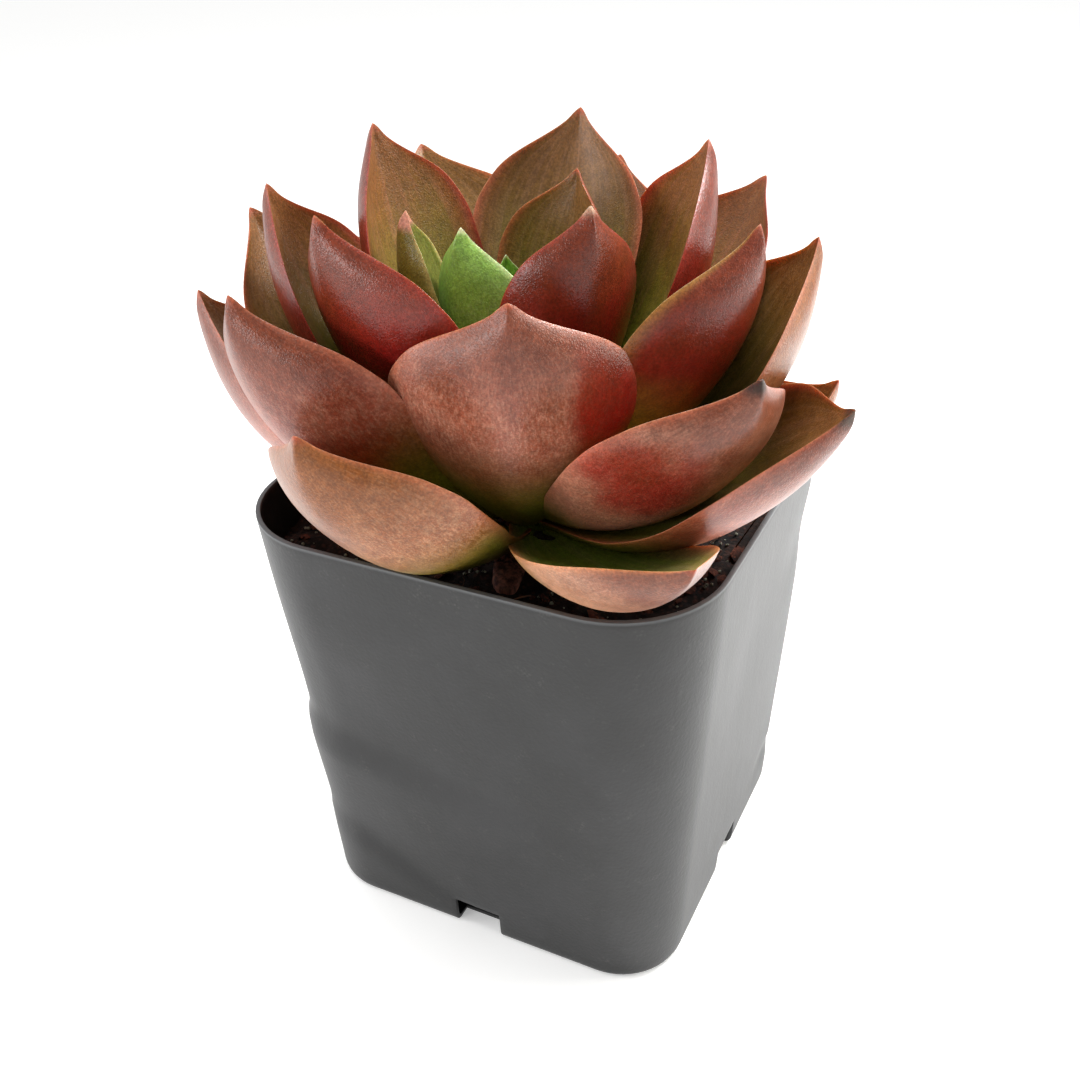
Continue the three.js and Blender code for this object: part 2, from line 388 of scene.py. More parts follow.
def taperPoint(point):  # moves a point of the straight rounded block on to the tapered pot
    share = point.z / (pot["height"] * mm)
    half = mix(pot["bottomWidth"], pot["topWidth"], share) / 2 * mm
    corner = mix(pot["bottomCorner"], pot["topCorner"], share) * mm
    reach = (pot["topWidth"] / 2 - pot["topCorner"]) * mm
    placed = []
    for value in (point.x, point.y):
        middle = clamp(value, -reach, reach)
        placed.append(middle / reach * (half - corner)
                      + (value - middle) * corner / (pot["topCorner"] * mm))
    return Vector((placed[0], placed[1], point.z))


def dentPoint(point, outward):
    push = pot["ripple"] * noise.noise(point / mm / pot["rippleSize"])
    spot = point / mm
    for middle, half, depth in dents:
        gap = spot - Vector(middle)
        along = math.hypot(gap.x, gap.y) / half[0]
        lift = gap.z / half[1]
        push += depth * math.exp(-pot["dentFall"] * (along * along + lift * lift))
    deepest = 0.0
    for start, end, startDepth, endDepth, above, below in creases:
        run = Vector(end) - Vector(start)
        level = run.xy
        share = (spot - Vector(start)).xy.dot(level) / level.length_squared
        nearest = Vector(start) + run * clamp(share)
        away = (spot - nearest).xy.length / pot["creaseReach"]
        lift = spot.z - nearest.z
        lift /= above if lift > 0 else below
        depth = mix(startDepth, endDepth, clamp(share)) * math.exp(-away * away - lift * lift)
        deepest = max(deepest, depth)
    fade = (ease(0, pot["stiffFoot"], spot.z)
            * ease(pot["height"], pot["height"] - pot["stiffRim"], spot.z))
    return point - outward * (push + deepest) * fade * mm


def roundPot(piece):  # rounds the upright corners, opens the top and rounds the foot
    height = pot["height"] * mm

    def ends(edge):
        return [piece.data.vertices[k].co for k in edge.vertices]

    def upright(edge):
        a, b = ends(edge)
        return abs(a.z - b.z) > height / 2

    chooseIn(piece, "EDGE", upright)
    bpy.ops.mesh.bevel(offset=pot["topCorner"] * mm, segments=pot["cornerSteps"], affect="EDGES")
    chooseIn(piece, "FACE", lambda face: face.normal.z > 0.9)
    bpy.ops.mesh.delete(type="FACE")
    chooseIn(piece, "EDGE", lambda edge: all(end.z < mm for end in ends(edge)))
    bpy.ops.mesh.bevel(offset=pot["footRadius"] * mm, segments=4, affect="EDGES")


def slicePot():  # level rings and upright columns, so that the wall can bend
    height = pot["height"] * mm
    levels = int(pot["height"] / pot["gridStep"])
    for k in range(1, levels):
        selectMesh()
        bpy.ops.mesh.bisect(plane_co=(0, 0, k * height / levels), plane_no=(0, 0, 1))
    reach = pot["topWidth"] / 2 - pot["topCorner"]
    columns = int(2 * reach / pot["gridStep"])
    for axis in ((1, 0, 0), (0, 1, 0)):
        for k in range(1, columns):
            place = Vector(axis) * (2 * k / columns - 1) * reach * mm
            selectMesh()
            bpy.ops.mesh.bisect(plane_co=place, plane_no=axis)
    selectMesh()
    bpy.ops.mesh.remove_doubles(threshold=1e-6)
    closeEdit()


def makeNotchCutter(side):  # cuts the two notches that face each other
    size = (pot["topWidth"] * 2, pot["notchWidth"], pot["notchHeight"] * 2)
    bpy.ops.mesh.primitive_cube_add(size=1, location=(0, 0, 0), scale=[v * mm for v in size])
    cutter = newest("notchCutter%d" % side)
    turn = side * math.pi / 2
    cutter.rotation_euler = (0, 0, turn)
    setPlace(cutter)
    inner = (pot["bottomWidth"] / 2 - pot["notchReach"]) * mm
    bpy.ops.object.mode_set(mode="EDIT")
    for sign in (-1, 1):
        axis = Vector((math.cos(turn), math.sin(turn), 0)) * sign
        selectMesh()
        bpy.ops.mesh.bisect(plane_co=axis * inner, plane_no=axis)
    # The middle stretch goes, so the floor stays whole.
    chooseIn(cutter, "FACE", lambda face: max(abs(face.center.x), abs(face.center.y)) < inner)
    bpy.ops.mesh.delete(type="FACE")
    bpy.ops.mesh.select_all(action="DESELECT")
    bpy.ops.mesh.select_mode(type="EDGE")
    bpy.ops.mesh.select_non_manifold()
    bpy.ops.mesh.fill_holes(sides=8)
    closeEdit()
    return cutter


def makePot():
    height, width = pot["height"] * mm, pot["topWidth"] * mm
    bpy.ops.mesh.primitive_cube_add(size=1, location=(0, 0, height / 2),
                                    scale=(width, width, height))
    piece = newest("potShell")
    setPlace(piece)
    roundPot(piece)
    slicePot()
    for vertex in piece.data.vertices:
        vertex.co = taperPoint(vertex.co)
    piece.data.update()
    normals = [vertex.normal.copy() for vertex in piece.data.vertices]
    for vertex, outward in zip(piece.data.vertices, normals):
        vertex.co = dentPoint(vertex.co, outward)
    wall = piece.modifiers.new("wall", "SOLIDIFY")
    wall.thickness = pot["wall"] * mm
    wall.offset = -1
    cutters = [makeNotchCutter(side) for side in range(2)]
    for cutter in cutters:
        cut = piece.modifiers.new(cutter.name, "BOOLEAN")
        cut.operation = "DIFFERENCE"
        cut.solver = "EXACT"
        cut.object = cutter
    applyAll(piece)
    for cutter in cutters:
        bpy.data.objects.remove(cutter)
    edge = piece.modifiers.new("softEdges", "BEVEL")
    edge.width = pot["rimRound"] * mm
    edge.segments = 2
    edge.limit_method = "ANGLE"
    edge.angle_limit = math.radians(50)
    applyAll(piece)
    smoothFaces(piece, 40)
    return piece


# Plastic: tones on a screen, noise sizes in cells per metre.
plastic = {"tone": (27, 27, 27), "hazeTone": (36, 36, 37), "rimTone": (96, 98, 100),
           "dustTone": (150, 145, 138), "rimShare": 0.6, "dustShare": 0.12, "haze": 70,
           "dust": 2600.0, "dustCover": 0.42, "scuff": 900, "grain": 2200, "roughness": 0.42,
           "scuffRoughness": 0.05, "bump": (0.00006, 0.5),
           "finish": {"Specular IOR Level": 0.42}}


def makePotMaterial():
    material, tree, shader = newMaterial("potPlastic", plastic["finish"])
    place = objectPlace(tree)
    height = addNode(tree, "ShaderNodeSeparateXYZ", None, Vector=place).outputs["Z"]
    haze = cloud(tree, place, plastic["haze"], 4, 0.6)
    dust = useGroup(tree, speckGroup, {"Place": place, "Scale": plastic["dust"],
                                       "Cover": plastic["dustCover"]})
    base = blendColour(tree, step(tree, haze, 0.35, 0.7), plastic["tone"], plastic["hazeTone"])
    rim = step(tree, height, (pot["height"] - 0.5) * mm, (pot["height"] - 0.1) * mm,
               (0, plastic["rimShare"]))
    base = blendColour(tree, rim, base, plastic["rimTone"])
    dusty = times(tree, dust["Mask"], plastic["dustShare"])
    base = blendColour(tree, dusty, base, plastic["dustTone"])
    tree.links.new(base, shader.inputs["Base Color"])
    scuff = cloud(tree, stretch(tree, place, (1, 1, 0.2)), plastic["scuff"], 3, 0.6)
    scuffs = times(tree, scuff, plastic["scuffRoughness"])
    tree.links.new(plus(tree, plastic["roughness"], scuffs), shader.inputs["Roughness"])
    grain = cloud(tree, place, plastic["grain"], 2, 0.5)
    relief = plus(tree, grain, times(tree, haze, 2.0))
    bumpInto(tree, shader, relief, *plastic["bump"])
    return material


potPiece = makePot()
potPiece.data.materials.clear()
potPiece.data.materials.append(makePotMaterial())
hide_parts("pot")
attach(potPiece, "root")
print("pot made:", len(potPiece.data.polygons), "faces")


# Soil: a rough crowned top in the pot, with bark, grit and root fibres lying on it.
soil = {"level": 50.0, "crown": 0.8, "gap": 0.35, "grid": 110, "clods": 0.9, "clodSize": 5.5,
        "crumbs": 0.35, "crumbSize": 1.3, "slice": 3.7, "edgeDip": 0.5, "dipStart": 0.85,
        "stemClear": 2.2, "tumble": 0.45, "seed": 11,
        "bottom": 6.0, "inset": 4.5}  # the bed narrows downwards, clear of the creased wall
# Loose bits: number, kinds, form, sizes, room to the wall, and lift as a share of the size.
looseBits = {
    "barkChips": {"count": 260, "kinds": 5, "shape": (1.5, 0.8, 0.35), "roughen": 0.28,
                  "sizes": (0.7, 2.3), "margin": 1.8, "lift": 0.12},
    "gritGrains": {"count": 420, "kinds": 4, "shape": (1, 0.9, 0.8), "roughen": 0.2,
                   "sizes": (0.22, 0.6), "margin": 0.8, "lift": 0.25},
}


def potHalf(z):
    return mix(pot["bottomWidth"], pot["topWidth"], z / pot["height"]) / 2 - pot["wall"]


def potCorner(z):
    return mix(pot["bottomCorner"], pot["topCorner"], z / pot["height"]) - pot["wall"]


def soilHeight(x, y):  # millimetres
    far = max(abs(x), abs(y)) / potHalf(soil["level"])
    spot = Vector((x, y, soil["slice"]))
    clods = noise.fractal(spot / soil["clodSize"], 1.0, 2.0, 3) * soil["clods"]
    crumbs = noise.fractal(spot / soil["crumbSize"], 0.9, 2.0, 3) * soil["crumbs"]
    dip = soil["edgeDip"] * ease(soil["dipStart"], 1.0, far)
    return soil["level"] + soil["crown"] * (1 - far) + clods + crumbs - dip


def insideSoil(x, y, margin):
    half = potHalf(soil["level"]) - soil["gap"] - margin
    corner = potCorner(soil["level"]) - margin
    ox, oy = abs(x) - (half - corner), abs(y) - (half - corner)
    if ox > 0 and oy > 0:
        return math.hypot(ox, oy) < corner
    return abs(x) < half and abs(y) < half


def roundedReach(x, y, half, corner):  # how far the rounded square reaches along a direction
    far = max(abs(x), abs(y))
    square = math.hypot(x, y) / far * half
    ux, uy = abs(x) / math.hypot(x, y), abs(y) / math.hypot(x, y)
    c = half - corner
    if ux * square > c and uy * square > c:
        along = (ux + uy) * c
        return along + math.sqrt(max(along * along - 2 * c * c + corner * corner, 0)), square
    return square, square


def makeSoil():
    half = potHalf(soil["level"]) - soil["gap"]
    corner = potCorner(soil["level"]) - soil["gap"]
    bpy.ops.mesh.primitive_grid_add(x_subdivisions=soil["grid"], y_subdivisions=soil["grid"],
                                    size=2 * half * mm, location=(0, 0, soil["level"] * mm))
    piece = newest("soilBed")
    setPlace(piece)
    for vertex in piece.data.vertices:
        x, y = vertex.co.x / mm, vertex.co.y / mm
        if math.hypot(x, y) > 1e-6:
            rounded, square = roundedReach(x, y, half, corner)
            x, y = x * rounded / square, y * rounded / square
        vertex.co = Vector((x, y, soilHeight(x, y))) * mm
    editAll(piece)
    bpy.ops.mesh.select_mode(type="EDGE")
    bpy.ops.mesh.select_all(action="DESELECT")
    bpy.ops.mesh.select_non_manifold()
    drop = (soil["level"] - soil["bottom"]) * mm
    shrink = (potHalf(soil["bottom"]) - soil["gap"] - soil["inset"]) / half
    bpy.ops.mesh.extrude_region_move(TRANSFORM_OT_translate={"value": (0, 0, -drop)})
    bpy.ops.transform.resize(value=(shrink, shrink, 0), center_override=(0, 0, soil["bottom"] * mm))
    bpy.ops.mesh.edge_face_add()
    closeEdit()
    smoothFaces(piece, 60)
    return piece


def scatter(name, blanks, spots):  # joins placed copies of the blanks into one piece
    points, faces = [], []
    for blank, place in spots:
        start = len(points)
        mesh = blanks[blank].data
        points += [place @ vertex.co for vertex in mesh.vertices]
        faces += [[start + k for k in polygon.vertices] for polygon in mesh.polygons]
    mesh = bpy.data.meshes.new(name)
    mesh.from_pydata(points, [], faces)
    mesh.update()
    piece = bpy.data.objects.new(name, mesh)
    scene.collection.objects.link(piece)
    for blank in blanks:
        bpy.data.objects.remove(blank)
    return piece


def makeBlanks(name, count, shape, roughen, dice):  # a few rough lumps, 1 mm across
    blanks = []
    for k in range(count):
        bpy.ops.mesh.primitive_ico_sphere_add(subdivisions=1, radius=0.5 * mm, location=(0, 0, 0))
        blank = newest("%s%d" % (name, k))
        editAll(blank)
        bpy.ops.transform.resize(value=shape)
        leaveEdit()
        for vertex in blank.data.vertices:
            vertex.co *= 1 + dice.uniform(-roughen, roughen)
        blanks.append(blank)
    return blanks


def scatterSoilBits():
    dice = random.Random(soil["seed"])
    half = potHalf(soil["level"])

    def spot(margin):
        while True:
            x, y = dice.uniform(-half, half), dice.uniform(-half, half)
            fromStem = math.hypot(x - stem["foot"][0], y - stem["foot"][1])
            if insideSoil(x, y, margin) and fromStem > soil["stemClear"]:
                return x, y

    def placed(size, margin, lift):
        x, y = spot(margin)
        turn = Matrix.Rotation(dice.uniform(0, math.tau), 4, "Z")
        angle = dice.gauss(0, soil["tumble"])
        lean = Matrix.Rotation(angle, 4, Vector((dice.random(), dice.random(), 0)).normalized())
        where = Vector((x, y, soilHeight(x, y) + size * lift)) * mm
        return Matrix.Translation(where) @ lean @ turn @ Matrix.Scale(size, 4)

    heaps = []
    for name, bit in looseBits.items():
        blanks = makeBlanks(name + "Blank", bit["kinds"], bit["shape"], bit["roughen"], dice)
        heap = scatter(name, blanks, [
            (dice.randrange(bit["kinds"]),
             placed(dice.uniform(*bit["sizes"]), bit["margin"], bit["lift"]))
            for _ in range(bit["count"])])
        facesOutward(heap)
        smoothFaces(heap, 30)
        heaps.append(heap)
    return heaps


def addThread(name, points, radius):  # a thin hair through the points, made a mesh
    curve = bpy.data.curves.new(name, "CURVE")
    curve.dimensions = "3D"
    curve.bevel_depth = radius * mm
    curve.bevel_resolution = 1
    curve.use_fill_caps = True
    curve.resolution_u = 4
    spline = curve.splines.new("NURBS")
    spline.points.add(len(points) - 1)
    spline.use_endpoint_u = True
    spline.order_u = 3
    for point, place in zip(spline.points, points):
        point.co = (*(Vector(place) * mm), 1)
    piece = bpy.data.objects.new(name, curve)
    scene.collection.objects.link(piece)
    pick(piece)
    bpy.ops.object.convert(target="MESH")
    return bpy.context.view_layer.objects.active


# Hairs that stand clear of the soil at the rim: the points of each.
rimHairs = [[(24.6, 7, 51), (26, 9, 54), (27.8, 10.5, 56.6), (29.5, 11, 57.2)],
            [(24.8, 6, 51), (26.4, 7.5, 54.5), (28.2, 7, 56.8), (28.9, 5, 57.4)],
            [(25, 10, 51), (26.6, 11.5, 55), (27.4, 13.5, 57.6)],
            [(24.2, -2, 51), (25.5, -1, 53.5), (27, 1.5, 56.3), (28.2, 3.2, 56.4)],
            [(6, -24, 50.5), (7, -25.4, 53), (8.6, -26, 55), (10.5, -25.6, 55.6)],
            [(9.6, -19.2, 52.4), (9.9, -21.0, 54.2), (10.8, -22.3, 54.0), (11.6, -22.4, 52.6)]]


fibres = {"count": 34, "span": 23, "startMargin": 2.5, "margin": 1.5, "lengths": (1.5, 4.5),
          "points": 5, "fewest": 4, "bend": 0.5, "lift": 0.1, "arch": 0.5, "archTurn": 0.8,
          "radii": (0.05, 0.1), "hairRadius": 0.09}


def makeFibres():
    dice = random.Random(soil["seed"] + 1)
    threads = [addThread("hair", points, fibres["hairRadius"]) for points in rimHairs]
    while len(threads) < fibres["count"]:
        x, y = (dice.uniform(-fibres["span"], fibres["span"]) for _ in range(2))
        if not insideSoil(x, y, fibres["startMargin"]):
            continue
        turn, length, points = dice.uniform(0, math.tau), dice.uniform(*fibres["lengths"]), []
        stride = length / (fibres["points"] - 1)
        for k in range(fibres["points"]):
            turn += dice.gauss(0, fibres["bend"])
            x, y = x + math.cos(turn) * stride, y + math.sin(turn) * stride
            if not insideSoil(x, y, fibres["margin"]):
                break
            arch = fibres["arch"] * math.sin(k * fibres["archTurn"])
            points.append((x, y, soilHeight(x, y) + fibres["lift"] + arch))
        if len(points) >= fibres["fewest"]:
            threads.append(addThread("hair", points, dice.uniform(*fibres["radii"])))
    dropSelection()
    for thread in threads:
        thread.select_set(True)
    bpy.context.view_layer.objects.active = threads[0]
    bpy.ops.object.join()
    return newest("rootFibres")


# Loose mixes: dark, light and red tones, and mottle in cells per metre.
mixLooks = {"soilMix": [(16, 12, 11), (44, 30, 25), (70, 42, 33), 300],
            "barkCrumbs": [(38, 22, 18), (96, 52, 38), (128, 70, 50), 500],
            "paleGrit": [(92, 92, 80), (172, 170, 150), (205, 200, 180), 800],
            "fibreBrown": [(40, 24, 18), (92, 62, 44), (60, 36, 26), 900],
            "driedSkin": [(14, 12, 10), (46, 38, 28), (60, 44, 30), 600]}
mixForm = {"crumbScale": 5, "grainScale": 9, "redShare": 0.7, "bump": (0.0002, 0.8),
           "finish": {"Roughness": 0.9, "Specular IOR Level": 0.25}}


def makeMixMaterial(name):
    dark, light, red, mottle = mixLooks[name]
    material, tree, shader = newMaterial(name, mixForm["finish"])
    place = objectPlace(tree)
    patches = cloud(tree, place, mottle, 4, 0.65)
    crumbs = cells(tree, place, mottle * mixForm["crumbScale"]).outputs["Distance"]
    base = blendColour(tree, step(tree, patches, 0.35, 0.7), dark, light)
    redness = step(tree, crumbs, 0.5, 0.1, (0.0, mixForm["redShare"]))
    base = blendColour(tree, redness, base, red)
    tree.links.new(base, shader.inputs["Base Color"])
    relief = cloud(tree, place, mottle * mixForm["grainScale"], 3, 0.7)
    bumpInto(tree, shader, relief, *mixForm["bump"])
    return material


# Stem: short and woody, leaning back from the front wall to under the rosette.
stem = {"foot": (3.6, -18.2), "head": (1.2, -8.4), "neckHeight": 54.0, "topHeight": 64.5,
        "footRadius": 1.4, "neckRadius": 2.6, "topRadius": 1.5, "leanDepth": -0.4, "bury": 12.0,
        "sides": 28, "levels": 44, "scarTurn": 9, "scarRun": 9.0, "scarSlant": 0.8,
        "scarDepth": 0.06, "bulge": 0.10, "smallBulge": 0.04}


def stemMiddle(z):
    lean = ease(soil["level"] - stem["leanDepth"], stem["neckHeight"], z)
    x, y = (mix(foot, head, lean) for foot, head in zip(stem["foot"], stem["head"]))
    return Vector((x, y, z))


def stemRadius(z):
    if z < stem["neckHeight"]:
        share = ease(soil["level"], stem["neckHeight"], z)
        return mix(stem["footRadius"], stem["neckRadius"], share)
    share = (z - stem["neckHeight"]) / (stem["topHeight"] - stem["neckHeight"])
    return mix(stem["neckRadius"], stem["topRadius"], share)


def makeStem():
    bottom = soil["level"] - stem["bury"]
    rise = (stem["topHeight"] - bottom) / stem["levels"]
    bpy.ops.mesh.primitive_circle_add(vertices=stem["sides"], radius=1 * mm, fill_type="NGON",
                                      location=(0, 0, bottom * mm))
    piece = newest("stemWood")
    setPlace(piece)
    editAll(piece)
    for _ in range(stem["levels"]):
        bpy.ops.mesh.extrude_region_move(TRANSFORM_OT_translate={"value": (0, 0, rise * mm)})
    closeEdit()
    for vertex in piece.data.vertices:
        z = vertex.co.z / mm
        angle = math.atan2(vertex.co.y, vertex.co.x)
        around = Vector((math.cos(angle), math.sin(angle), 0))
        scar = math.sin((z - bottom) * stem["scarTurn"] / stem["scarRun"]
                        + stem["scarSlant"] * math.sin(angle * 2))
        bulge = (stem["scarDepth"] * scar
                 + stem["bulge"] * noise.noise(Vector((angle * 1.5, z / 6, 0.3))))
        bulge += stem["smallBulge"] * noise.noise(Vector((angle * 6, z / 3, 4.1)))
        vertex.co = (stemMiddle(z) + around * stemRadius(z) * (1 + bulge)) * mm
    smoothFaces(piece, 50)
    return piece


bark = {"dark": (92, 50, 40), "light": (176, 112, 92), "moss": (86, 70, 48), "mossShare": 0.6,
        "streaks": 1500, "streakStretch": (1, 1, 0.14), "blotches": 420,
        "bump": (0.00025, 0.8), "finish": {"Roughness": 0.7}}


def makeStemMaterial():
    material, tree, shader = newMaterial("stemBark", bark["finish"])
    place = objectPlace(tree)
    streaks = cloud(tree, stretch(tree, place, bark["streakStretch"]), bark["streaks"], 4, 0.6)
    blotches = cloud(tree, place, bark["blotches"], 3, 0.5)
    base = blendColour(tree, step(tree, streaks, 0.35, 0.65), bark["dark"], bark["light"])
    mossy = step(tree, blotches, 0.5, 0.72, (0.0, bark["mossShare"]))
    base = blendColour(tree, mossy, base, bark["moss"])
    tree.links.new(base, shader.inputs["Base Color"])
    bumpInto(tree, shader, streaks, *bark["bump"])
    return material


driedBase = {"middle": (5.8, -14.0, 54.9), "sizes": [1.9, 1.4, 1.2, 0.9], "spread": 0.55,
             "shape": (1, 0.85, 0.7), "roughen": 0.3, "seed": 5}


def makeDriedBase():  # the black stub that an old leaf left between the lowest ones
    dice = random.Random(driedBase["seed"])
    lumps = makeBlanks("driedBlank", len(driedBase["sizes"]), driedBase["shape"],
                       driedBase["roughen"], dice)
    spots = []
    for k, size in enumerate(driedBase["sizes"]):
        nudge = Vector([dice.gauss(0, driedBase["spread"]) for _ in range(3)])
        turn = Matrix.Rotation(dice.uniform(0, math.tau), 4, "X")
        spots.append((k, Matrix.Translation((Vector(driedBase["middle"]) + nudge) * mm) @ turn
                      @ Matrix.Scale(size, 4)))
    piece = scatter("driedLeafBase", lumps, spots)
    facesOutward(piece)
    smoothFaces(piece, 40)
    return piece


soilPiece = makeSoil()
soilPiece.data.materials.append(makeMixMaterial("soilMix"))
chipsPiece, gritPiece = scatterSoilBits()
chipsPiece.data.materials.append(makeMixMaterial("barkCrumbs"))
gritPiece.data.materials.append(makeMixMaterial("paleGrit"))
fibrePiece = makeFibres()
fibrePiece.data.materials.clear()
fibrePiece.data.materials.append(makeMixMaterial("fibreBrown"))
stemPiece = makeStem()
stemPiece.data.materials.append(makeStemMaterial())
driedPiece = makeDriedBase()
driedPiece.data.materials.append(makeMixMaterial("driedSkin"))
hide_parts("soil")
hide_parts("stem")
for piece in (soilPiece, chipsPiece, gritPiece, fibrePiece):
    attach(piece, "root")
for piece in (stemPiece, driedPiece):
    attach(piece, "root")
print("soil and stem made")


# Leaves: one blank, copied and bent along each leaf's own line.
form = {"segments": 36, "rings": 46, "ringCrowd": 0.55, "thickness": 3.1, "upperShare": 0.28,
            "cup": 0.4, "gap": 0.4, "twistRun": 0.35, "buttRun": 0.03, "edgeRound": 1.5,
            "keel": 0.3, "groove": 0.25, "keelWidth": 0.24, "keelStart": 0.45, "keelFull": 0.92,
            "wave": 0.45, "edgeWave": 0.03, "lineSteps": 60}
widthShare = [[0, 0.34], [0.1, 0.46], [0.25, 0.7], [0.4, 0.89], [0.53, 0.985], [0.62, 1],
              [0.7, 0.97], [0.77, 0.87], [0.82, 0.76], [0.86, 0.61], [0.9, 0.41], [0.93, 0.26],
              [0.96, 0.13], [0.985, 0.06], [1, 0]]
thicknessShare = [[0, 0.75], [0.12, 0.85], [0.4, 1], [0.7, 0.84], [0.9, 0.44], [0.97, 0.2], [1, 0]]

# Each leaf: bearing, height of its base, slope at base and tip, length, width, roll, sweep and
# look. They are numbered from 01 in each kind.
leafRows = {"outer": [
    (314, 54, -2, 46, 39, 18, -10, 13, "salmon"),
    (172, 53.5, 4, 30, 38, 21, 0, 0, "rose"),
    (22, 53, -4, 64, 38, 21, 6, 2, "amber"),
    (257, 53.5, 0, 80, 39, 24, 10, 0, "amber"),
    (118, 53.5, 2, 34, 39, 22, 0, 0, "rose"),
    (357, 54.5, 2, 60, 41, 25, 8, -4, "dryTip"),
    (203, 54.5, 0, 82, 44, 24, 6, 0, "rose"),
    (68, 54.5, 4, 45, 40, 23, 0, 0, "amber"),
    (148, 55.5, 12, 42, 39, 23, 0, 0, "rose"),
    (227, 56, 10, 86, 42, 26, 22, 5, "rose"),
    (98, 56, 14, 50, 39, 23, 0, 0, "rose"),
    (341, 57, 2, 75, 39, 24, -12, 0, "brownTip"),
], "middle": [
    (187, 57.5, 20, 74, 42, 23, -14, 0, "rose"),
    (20, 57, 8, 84, 43, 24, 4, 6, "amber"),
    (296, 55.5, 34, 88, 37, 25, 0, 0, "broad"),
    (140, 58.5, 40, 62, 40, 23, 0, 0, "amber"),
    (6, 58.5, 24, 84, 40, 24, -12, -4, "flushed"),
    (200, 58.5, 24, 88, 42, 22, -4, 0, "crimson"),
    (90, 57.5, 32, 66, 40, 23, 0, 2, "rose"),
    (54, 58, 28, 60, 42, 21, 0, 6, "crimson"),
    (235, 59.5, 38, 84, 38, 23, 12, 0, "crimson"),
    (178, 60.5, 46, 92, 39, 21, 2, 0, "crimson"),
    (34, 60, 36, 90, 40, 23, 0, 0, "crimson"),
], "inner": [
    (94, 62.5, 44, 78, 37, 21, -6, 0, "rose"),
    (329, 62, 52, 86, 33, 15, -8, 0, "palePoint"),
    (74, 63, 62, 86, 29, 16, 0, 0, "rose"),
    (208, 63, 54, 90, 28, 12, 0, 0, "olive"),
], "bud": [
    (246, 63.5, 68, 92, 25.5, 15, 0, 0, "green"),
    (190, 63.5, 74, 84, 22, 9, 0, 0, "green"),
    (18, 63.5, 68, 86, 24, 10, 0, 0, "olive"),
    (130, 64, 76, 90, 19, 8, 0, 0, "green"),
]}


def makeLeafBlank():  # a round form whose points hold their place: across, along and which face
    bpy.ops.mesh.primitive_uv_sphere_add(segments=form["segments"], ring_count=form["rings"],
                                         radius=1, location=(0, 0, 0))
    blank = newest("leafBlank")
    places = []
    for vertex in blank.data.vertices:
        x, y, z = vertex.co
        rise = 1 - math.acos(clamp(z, -1, 1)) / math.pi
        along = mix(rise, (1 - math.cos(math.pi * rise)) / 2, form["ringCrowd"])
        reach = math.hypot(x, y)
        across, face = (x / reach, y / reach) if reach > 1e-5 else (0.0, 0.0)
        places.append((across, along, face))
    attribute = blank.data.attributes.new("leafPlace", "FLOAT_VECTOR", "POINT")
    attribute.data.foreach_set("vector", [value for place in places for value in place])
    return blank, places


def leafRing(row, along, line, outward, sideways):  # middle, two ways and half sizes at one place
    _, _, startSlope, endSlope, _, width, roll, sweep, _ = row
    up = Vector((0, 0, 1))
    drift = Matrix.Rotation(math.radians(sweep * along), 3, up)
    slope = math.radians(mix(startSlope, endSlope, along))
    heading = (drift @ outward) * math.cos(slope) + up * math.sin(slope)
    turn = math.radians(roll) * min(1, along / form["twistRun"])
    across = Matrix.Rotation(turn, 3, heading) @ (drift @ sideways)
    spot = along * form["lineSteps"]
    k = min(int(spot), form["lineSteps"] - 1)
    middle = line[k].lerp(line[k + 1], spot - k)
    butt = math.sqrt(1 - (1 - min(1, along / form["buttRun"])) ** 2)
    half = width / 2 * readCurve(widthShare, along) * butt
    thick = form["thickness"] * readCurve(thicknessShare, along) * butt
    return middle, across, heading.cross(across), half, thick


def bendLeaf(leaf, places, row, seed):
    bearing, height, startSlope, endSlope, length, _, _, sweep, _ = row
    up = Vector((0, 0, 1))
    outward = Vector((math.cos(math.radians(bearing)), math.sin(math.radians(bearing)), 0))
    sideways = up.cross(outward)
    steps = form["lineSteps"]
    line = [stemMiddle(height) + outward * (stemRadius(height) + form["gap"])]
    for k in range(steps):
        share = (k + 0.5) / steps
        slope = math.radians(mix(startSlope, endSlope, share))
        level = Matrix.Rotation(math.radians(sweep * share), 3, up) @ outward
        line.append(line[k] + (level * math.cos(slope) + up * math.sin(slope)) * length / steps)
    rings = {}
    for vertex, (v, t, f) in zip(leaf.data.vertices, places):
        key = round(t, 5)
        if key not in rings:
            rings[key] = leafRing(row, t, line, outward, sideways)
        middle, across, face, half, thick = rings[key]
        edgePlace = Vector((t * 4.5, math.copysign(2.5, v), seed * 7.3))
        uneven = form["edgeWave"] * noise.noise(edgePlace)
        body = thick * abs(f) ** form["edgeRound"]
        body *= form["upperShare"] if f > 0 else form["upperShare"] - 1
        midline = (math.exp(-(v / form["keelWidth"]) ** 2)
                   * ease(form["keelStart"], form["keelFull"], t) * ease(1.0, 0.95, t))
        body -= midline * (form["groove"] if f > 0 else form["keel"])
        swell = form["wave"] * math.sin(math.pi * clamp(t * 1.05)) ** 0.7
        body += swell * noise.noise(Vector((v * 1.3, t * 3.2, seed * 5.1)))
        vertex.co = (middle + across * half * v * (1 + uneven)
                     + face * (form["cup"] * half * v * v + body)) * mm
    leaf.data.update()


